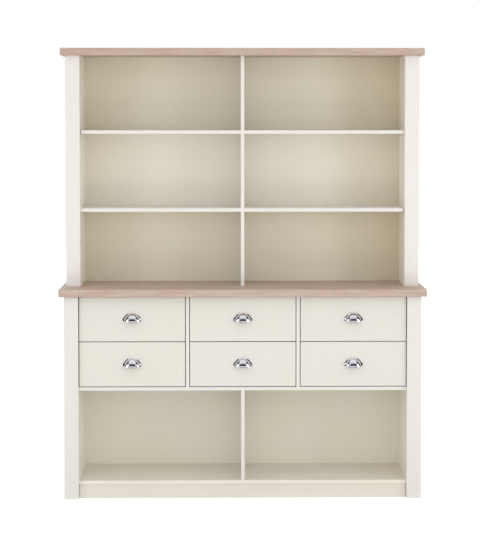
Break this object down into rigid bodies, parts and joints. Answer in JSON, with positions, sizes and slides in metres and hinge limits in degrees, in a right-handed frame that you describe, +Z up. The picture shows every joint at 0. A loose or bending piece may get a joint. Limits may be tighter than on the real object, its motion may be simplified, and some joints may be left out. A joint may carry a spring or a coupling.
{
  "type": "dresser with hutch",
  "caption": "Freestanding dresser with a drawer base over open compartments and an open shelved hutch, with corner posts, thick tops and cup pulls.",
  "frame": {"origin": "on the floor, in the middle of the width and of the worktop's depth", "axes": "+X to the right as one faces the drawers, +Y to the back, +Z up; the drawers open towards -Y"},
  "size_m": [1.584, 0.4, 1.95],
  "materials": {
    "cream_board": "satin cream paint on smooth board",
    "limed_oak": "limed oak grain with a pinkish grey wash, matt",
    "back_sheet": "thin hardboard painted cream inside",
    "drawer_board": "foil-faced drawer board, matt",
    "drawer_bottom": "painted hardboard, matt",
    "beech_strip": "waxed beech",
    "cam_cap": "die-cast zinc, dull",
    "steel_pin": "nickel-plated steel",
    "chrome_pull": "polished chrome on die-cast zinc"
  },
  "bodies": {
    "carcass": {"worktop": "limed_oak", "drawer_deck": "cream_board", "bottom_shelf": "cream_board", "lower_divider": "cream_board", "plinth": "cream_board", "base_back_panels": "back_sheet", "base_post_front_left": "cream_board", "base_post_front_right": "cream_board", "base_post_rear_left": "cream_board", "base_post_rear_right": "cream_board", "base_side_left": "cream_board", "base_side_right": "cream_board", "drawer_divider_left": "cream_board", "drawer_divider_right": "cream_board", "hutch_top": "limed_oak", "hutch_back_panels": "back_sheet", "hutch_shelf_lower": "cream_board", "hutch_shelf_upper": "cream_board", "hutch_divider_lower": "cream_board", "hutch_divider_middle": "cream_board", "hutch_divider_upper": "cream_board", "hutch_post_front_left": "cream_board", "hutch_post_front_right": "cream_board", "hutch_post_rear_left": "cream_board", "hutch_post_rear_right": "cream_board", "hutch_side_left": "cream_board", "hutch_side_right": "cream_board", "cam_locks": "cam_cap", "shelf_pins": "steel_pin", "drawer_runners": "beech_strip"},
    "drawer_upper_left": {"drawer_upper_left_front": "cream_board", "drawer_upper_left_sides": "drawer_board", "drawer_upper_left_back": "drawer_board", "drawer_upper_left_bottom": "drawer_bottom", "drawer_upper_left_pull": "chrome_pull"},
    "drawer_upper_middle": {"drawer_upper_middle_front": "cream_board", "drawer_upper_middle_sides": "drawer_board", "drawer_upper_middle_back": "drawer_board", "drawer_upper_middle_bottom": "drawer_bottom", "drawer_upper_middle_pull": "chrome_pull"},
    "drawer_upper_right": {"drawer_upper_right_front": "cream_board", "drawer_upper_right_sides": "drawer_board", "drawer_upper_right_back": "drawer_board", "drawer_upper_right_bottom": "drawer_bottom", "drawer_upper_right_pull": "chrome_pull"},
    "drawer_lower_left": {"drawer_lower_left_front": "cream_board", "drawer_lower_left_sides": "drawer_board", "drawer_lower_left_back": "drawer_board", "drawer_lower_left_bottom": "drawer_bottom", "drawer_lower_left_pull": "chrome_pull"},
    "drawer_lower_middle": {"drawer_lower_middle_front": "cream_board", "drawer_lower_middle_sides": "drawer_board", "drawer_lower_middle_back": "drawer_board", "drawer_lower_middle_bottom": "drawer_bottom", "drawer_lower_middle_pull": "chrome_pull"},
    "drawer_lower_right": {"drawer_lower_right_front": "cream_board", "drawer_lower_right_sides": "drawer_board", "drawer_lower_right_back": "drawer_board", "drawer_lower_right_bottom": "drawer_bottom", "drawer_lower_right_pull": "chrome_pull"}
  },
  "joints": [
    {"name": "drawer_upper_left_slide", "type": "slide", "parent": "carcass", "child": "drawer_upper_left", "axis": [0, -1, 0], "range_m": [0, 0.25]},
    {"name": "drawer_upper_middle_slide", "type": "slide", "parent": "carcass", "child": "drawer_upper_middle", "axis": [0, -1, 0], "range_m": [0, 0.25]},
    {"name": "drawer_upper_right_slide", "type": "slide", "parent": "carcass", "child": "drawer_upper_right", "axis": [0, -1, 0], "range_m": [0, 0.25]},
    {"name": "drawer_lower_left_slide", "type": "slide", "parent": "carcass", "child": "drawer_lower_left", "axis": [0, -1, 0], "range_m": [0, 0.25]},
    {"name": "drawer_lower_middle_slide", "type": "slide", "parent": "carcass", "child": "drawer_lower_middle", "axis": [0, -1, 0], "range_m": [0, 0.25]},
    {"name": "drawer_lower_right_slide", "type": "slide", "parent": "carcass", "child": "drawer_lower_right", "axis": [0, -1, 0], "range_m": [0, 0.25]}
  ]
}
